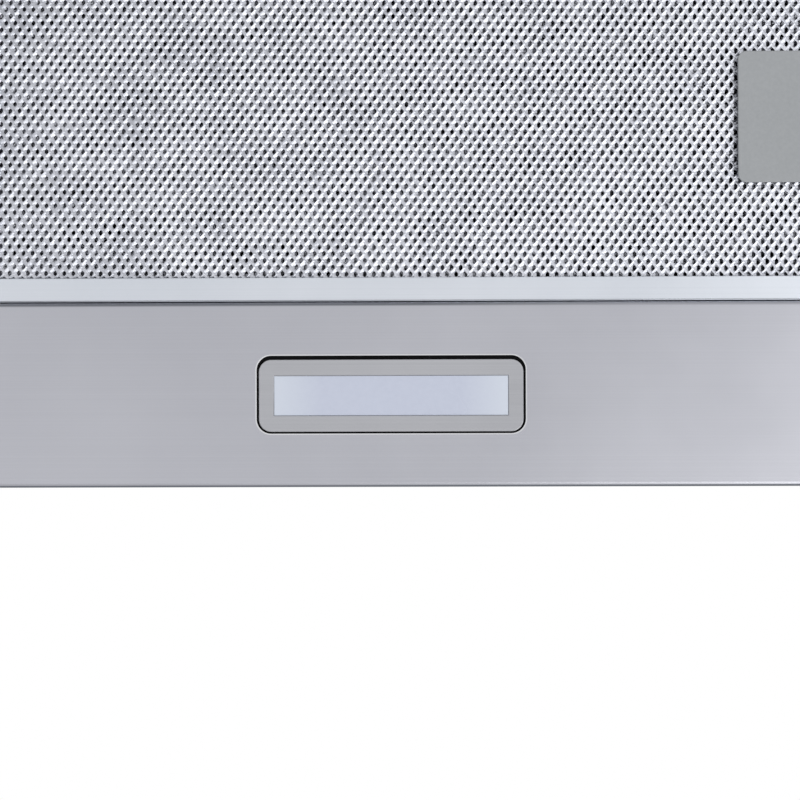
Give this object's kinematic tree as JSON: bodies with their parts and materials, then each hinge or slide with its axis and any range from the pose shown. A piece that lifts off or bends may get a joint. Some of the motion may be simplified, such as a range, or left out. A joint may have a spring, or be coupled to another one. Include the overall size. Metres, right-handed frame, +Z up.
{
  "type": "telescopic range hood",
  "caption": "Slim range hood built in under a wall cabinet: pull-out visor on side slides, tilting grease filter with a latch, lamps at the rear, fan box with a round duct spigot.",
  "frame": {"origin": "under the middle of the hood, in the plane of its underside", "axes": "+X to the right from the front and along the hood's width, +Y to the rear wall, +Z up; the visor pulls out towards -Y"},
  "size_m": [0.598, 0.29, 0.25],
  "materials": {
    "stainless": "brushed satin stainless steel",
    "silver_paint": "smooth silver-grey paint",
    "zinc_steel": "dull zinc-coated sheet steel",
    "filter_aluminium": "bright rolled aluminium",
    "grey_plastic": "matt light grey plastic",
    "dark_plastic": "matt black plastic",
    "white_plastic": "matt white plastic",
    "milky_lens": "milky translucent plastic, unlit",
    "motor_steel": "dark laminated steel",
    "motor_shield": "plain pressed aluminium",
    "black_rubber": "soft black rubber"
  },
  "bodies": {
    "chassis": {"cable_grommet": "black_rubber", "capacitor": "white_plastic", "deck_plate": "zinc_steel", "duct_spigot": "dark_plastic", "flap_bar": "dark_plastic", "front_rail": "stainless", "lamp_bezel_left": "stainless", "lamp_bezel_right": "stainless", "lamp_housing_left": "dark_plastic", "lamp_housing_right": "dark_plastic", "lamp_lens_left": "milky_lens", "lamp_lens_right": "milky_lens", "lamp_panel": "stainless", "led_boards": "white_plastic", "led_driver": "white_plastic", "microswitch": "dark_plastic", "motor_box_end_left": "zinc_steel", "motor_box_end_right": "zinc_steel", "motor_box_wrap": "zinc_steel", "motor_bracket": "zinc_steel", "motor_shield_inner": "motor_shield", "motor_shield_outer": "motor_shield", "motor_stack": "motor_steel", "scroll_side_left": "zinc_steel", "scroll_side_right": "zinc_steel", "scroll_wrap": "zinc_steel", "side_panel_left": "silver_paint", "side_panel_right": "silver_paint", "slide_outer_left": "zinc_steel", "slide_outer_right": "zinc_steel", "terminal_box": "dark_plastic", "terminal_cover": "dark_plastic"},
    "visor": {"fascia": "stainless", "visor_arm_right": "silver_paint", "visor_arm_left": "silver_paint", "visor_top_plate": "silver_paint", "visor_crossbar": "silver_paint", "visor_filter_frame": "filter_aluminium", "visor_filter_mesh": "filter_aluminium", "slide_inner_right": "zinc_steel", "slide_inner_left": "zinc_steel", "control_bezel": "dark_plastic", "switch_block": "dark_plastic"},
    "roller_cage_right": {"roller_cage_right": "zinc_steel"},
    "roller_cage_left": {"roller_cage_left": "zinc_steel"},
    "fan_rotor": {"fan_drum": "dark_plastic", "motor_shaft": "motor_steel"},
    "flap_front": {"flap_front": "dark_plastic"},
    "flap_rear": {"flap_rear": "dark_plastic"},
    "grease_filter": {"filter_frame": "filter_aluminium", "filter_mesh": "filter_aluminium", "latch_plate": "grey_plastic", "latch_spring": "zinc_steel"},
    "latch_slider": {"latch_slider": "grey_plastic"},
    "button_off": {"button_off": "grey_plastic"},
    "button_speed_1": {"button_speed_1": "grey_plastic"},
    "button_speed_2": {"button_speed_2": "grey_plastic"},
    "button_speed_3": {"button_speed_3": "grey_plastic"},
    "button_light": {"button_light": "grey_plastic"}
  },
  "joints": [
    {"name": "visor_slide", "type": "slide", "parent": "chassis", "child": "visor", "axis": [0, -1, 0], "range_m": [0, 0.15]},
    {"name": "roller_cage_right_slide", "type": "slide", "parent": "chassis", "child": "roller_cage_right", "axis": [0, -1, 0], "range_m": [0, 0.075]},
    {"name": "roller_cage_left_slide", "type": "slide", "parent": "chassis", "child": "roller_cage_left", "axis": [0, -1, 0], "range_m": [0, 0.075]},
    {"name": "fan_spin", "type": "hinge", "parent": "chassis", "child": "fan_rotor", "pos_m": [0, -0.01399, 0.1329], "axis": [1, 0, 0], "continuous": true},
    {"name": "flap_front_hinge", "type": "hinge", "parent": "chassis", "child": "flap_front", "pos_m": [0, 0.04309, 0.2017], "axis": [-1, 0, 0], "range_deg": [0, 55]},
    {"name": "flap_rear_hinge", "type": "hinge", "parent": "chassis", "child": "flap_rear", "pos_m": [0, 0.05229, 0.2017], "axis": [1, 0, 0], "range_deg": [0, 55]},
    {"name": "filter_tilt", "type": "hinge", "parent": "chassis", "child": "grease_filter", "pos_m": [0, -0.104, 0.0006], "axis": [-1, 0, 0], "range_deg": [0, 60]},
    {"name": "filter_latch", "type": "slide", "parent": "grease_filter", "child": "latch_slider", "axis": [0, -1, 0], "range_m": [0, 0.004], "stiffness_N_per_m": 800, "springref_m": -0.004, "deforming": ["latch_spring"]},
    {"name": "button_off_press", "type": "slide", "parent": "visor", "child": "button_off", "axis": [0, 1, 0], "range_m": [0, 0.0025], "stiffness_N_per_m": 500, "springref_m": -0.002},
    {"name": "button_speed_1_press", "type": "slide", "parent": "visor", "child": "button_speed_1", "axis": [0, 1, 0], "range_m": [0, 0.0025], "stiffness_N_per_m": 500, "springref_m": -0.002},
    {"name": "button_speed_2_press", "type": "slide", "parent": "visor", "child": "button_speed_2", "axis": [0, 1, 0], "range_m": [0, 0.0025], "stiffness_N_per_m": 500, "springref_m": -0.002},
    {"name": "button_speed_3_press", "type": "slide", "parent": "visor", "child": "button_speed_3", "axis": [0, 1, 0], "range_m": [0, 0.0025], "stiffness_N_per_m": 500, "springref_m": -0.002},
    {"name": "button_light_press", "type": "slide", "parent": "visor", "child": "button_light", "axis": [0, 1, 0], "range_m": [0, 0.0025], "stiffness_N_per_m": 500, "springref_m": -0.002}
  ],
  "couplings": [
    {"joint": "roller_cage_right_slide", "follows": "visor_slide", "ratio": 0.5},
    {"joint": "roller_cage_left_slide", "follows": "visor_slide", "ratio": 0.5}
  ]
}
